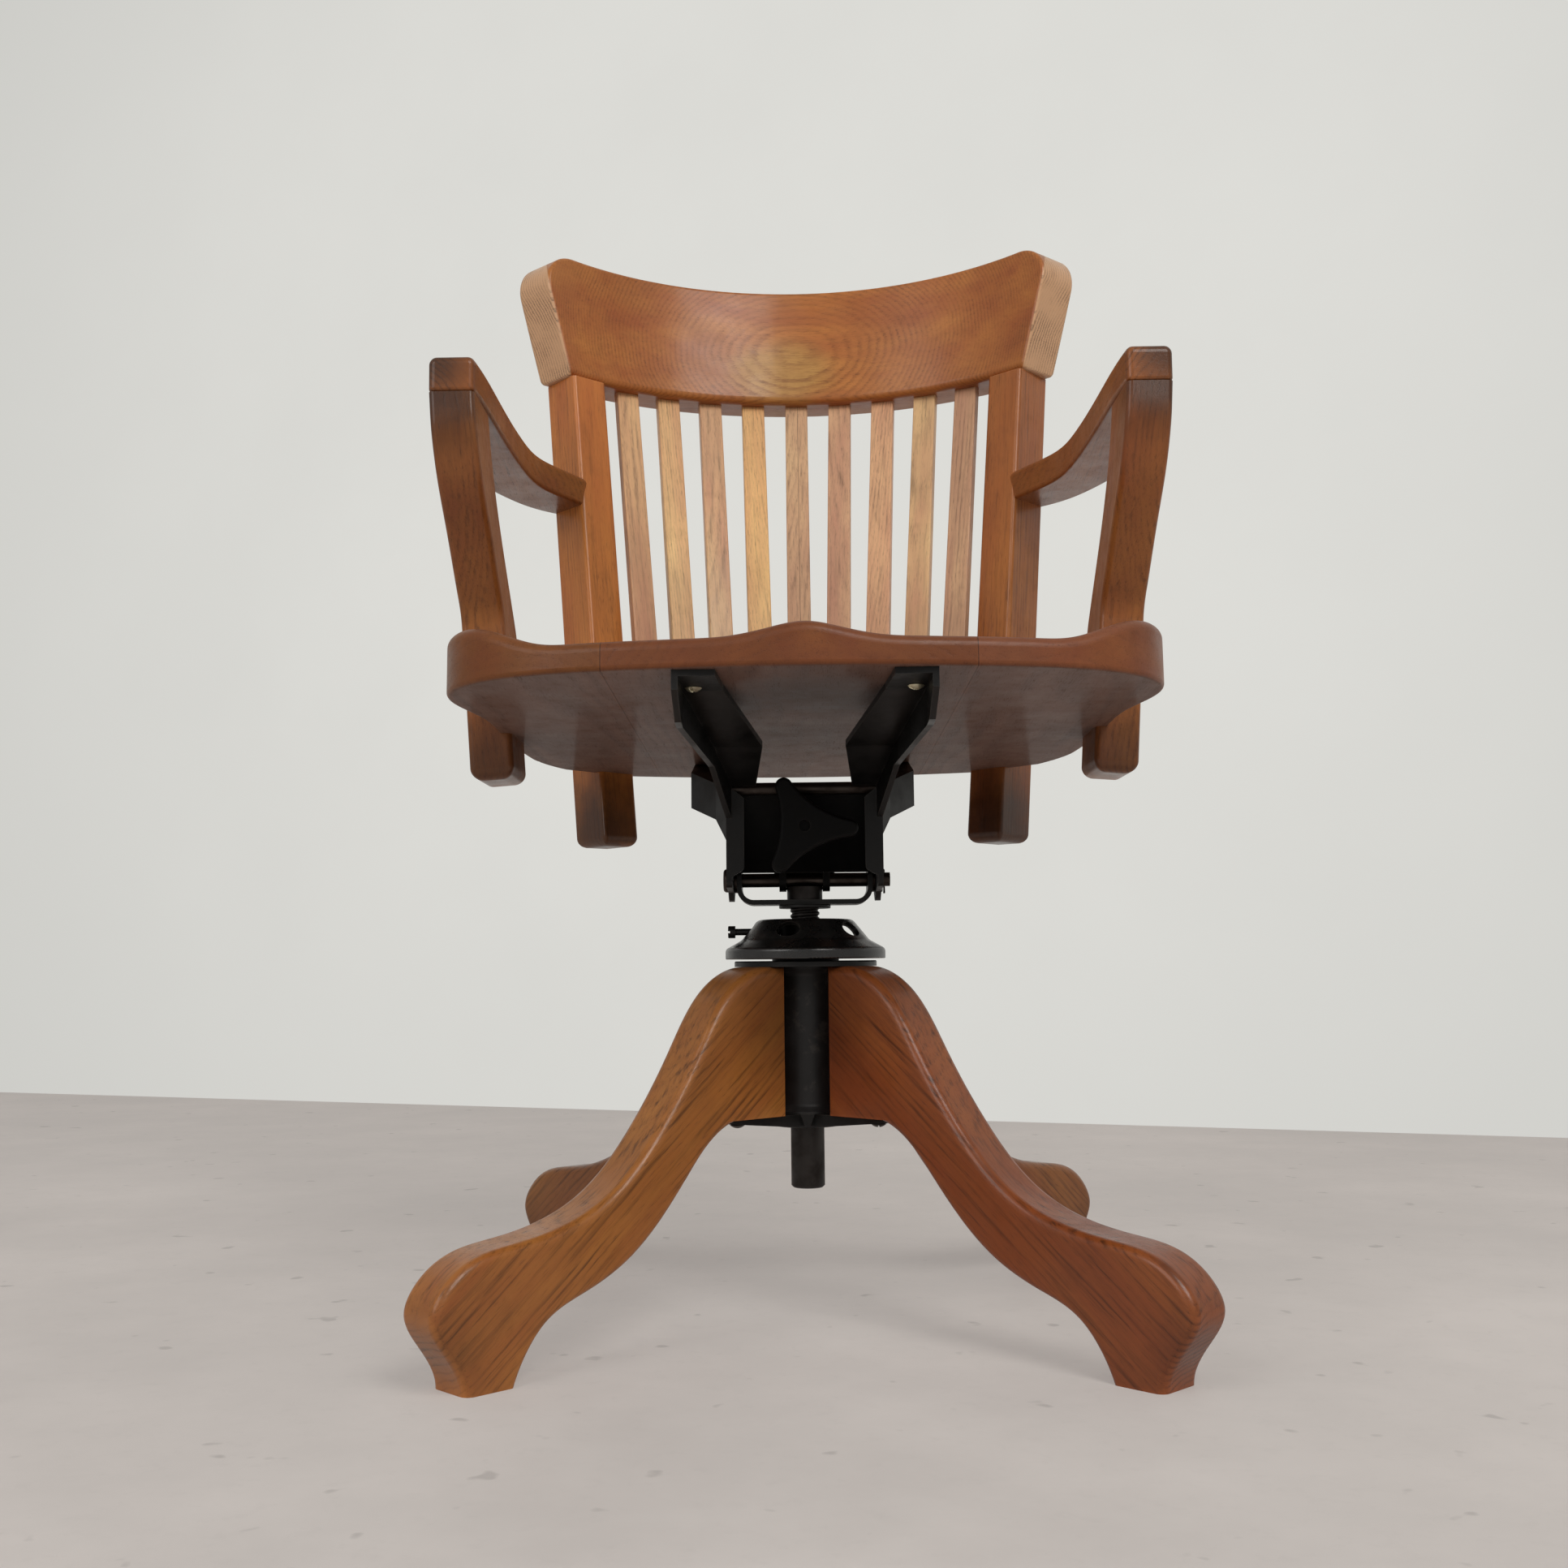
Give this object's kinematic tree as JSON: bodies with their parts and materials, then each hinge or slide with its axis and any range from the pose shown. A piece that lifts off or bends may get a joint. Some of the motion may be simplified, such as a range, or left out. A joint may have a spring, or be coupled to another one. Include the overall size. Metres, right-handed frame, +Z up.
{
  "type": "bankers swivel chair",
  "caption": "Oak bankers swivel chair with saddled seat, slatted bowed back, curved arms and a base of splayed legs with an iron tilt, swivel and height mechanism",
  "frame": {"origin": "on the floor, in the middle of the bounding box of the chair at rest", "axes": "+Z up, the chair faces -Y, +X towards the right of someone who looks at its front"},
  "size_m": [0.5426, 0.6214, 0.89],
  "materials": {
    "oak": "warm brown varnished oak with dark open pores",
    "slat_oak": "lighter varnished oak of uneven tone",
    "iron": "black, slightly worn iron",
    "steel": "dull bare steel"
  },
  "bodies": {
    "base": {"leg_front_left": "oak", "leg_front_right": "oak", "leg_rear_left": "oak", "leg_rear_right": "oak", "hub_tube": "iron", "hub_flange": "iron", "hub_cross": "iron", "flange_screws": "steel", "cross_screws": "steel", "thrust_washer": "iron"},
    "adjuster": {"adjuster_cap": "iron", "adjuster_nut": "iron"},
    "set_screw_body": {"set_screw": "iron"},
    "spindle_body": {"spindle": "steel", "spindle_collar": "iron", "yoke_strap": "iron", "spring_post": "iron", "pivot_rod": "steel", "pivot_washers": "steel", "pivot_cotter": "steel"},
    "seat_body": {"side_bracket_left": "iron", "side_bracket_right": "iron", "cross_rod": "steel", "pressure_plate": "iron", "tension_spring": "steel", "tension_bolt": "steel", "bolt_washer": "steel", "bracket_screws": "steel", "seat_board_left": "oak", "seat_board_middle": "oak", "seat_board_right": "oak", "arm_post_left": "oak", "arm_post_right": "oak", "arm_left": "oak", "arm_right": "oak", "back_post_left": "oak", "back_post_right": "oak", "crest_rail": "oak", "arm_dowels": "oak", "post_screws": "steel", "slat_1": "slat_oak", "slat_2": "slat_oak", "slat_3": "slat_oak", "slat_4": "slat_oak", "slat_5": "slat_oak", "slat_6": "slat_oak", "slat_7": "slat_oak", "slat_8": "slat_oak", "slat_9": "slat_oak"},
    "knob_body": {"tension_knob": "iron"}
  },
  "joints": [
    {"name": "swivel", "type": "hinge", "parent": "base", "child": "adjuster", "pos_m": [0, -0.069, 0.248], "axis": [0, 0, 1], "continuous": true},
    {"name": "height_adjust", "type": "slide", "parent": "adjuster", "child": "spindle_body", "axis": [0, 0, 1], "range_m": [-0.006, 0.05]},
    {"name": "tilt", "type": "hinge", "parent": "spindle_body", "child": "seat_body", "pos_m": [0, -0.069, 0.304], "axis": [-1, 0, 0], "range_deg": [0, 15], "stiffness_Nm_per_rad": 60, "springref_deg": -17.19, "deforming": ["tension_spring"]},
    {"name": "tension_turn", "type": "hinge", "parent": "seat_body", "child": "knob_body", "pos_m": [0, -0.129, 0.338], "axis": [0, -1, 0], "continuous": true},
    {"name": "set_screw_turn", "type": "hinge", "parent": "adjuster", "child": "set_screw_body", "pos_m": [-0.05, -0.069, 0.267], "axis": [-1, 0, 0], "continuous": true}
  ]
}
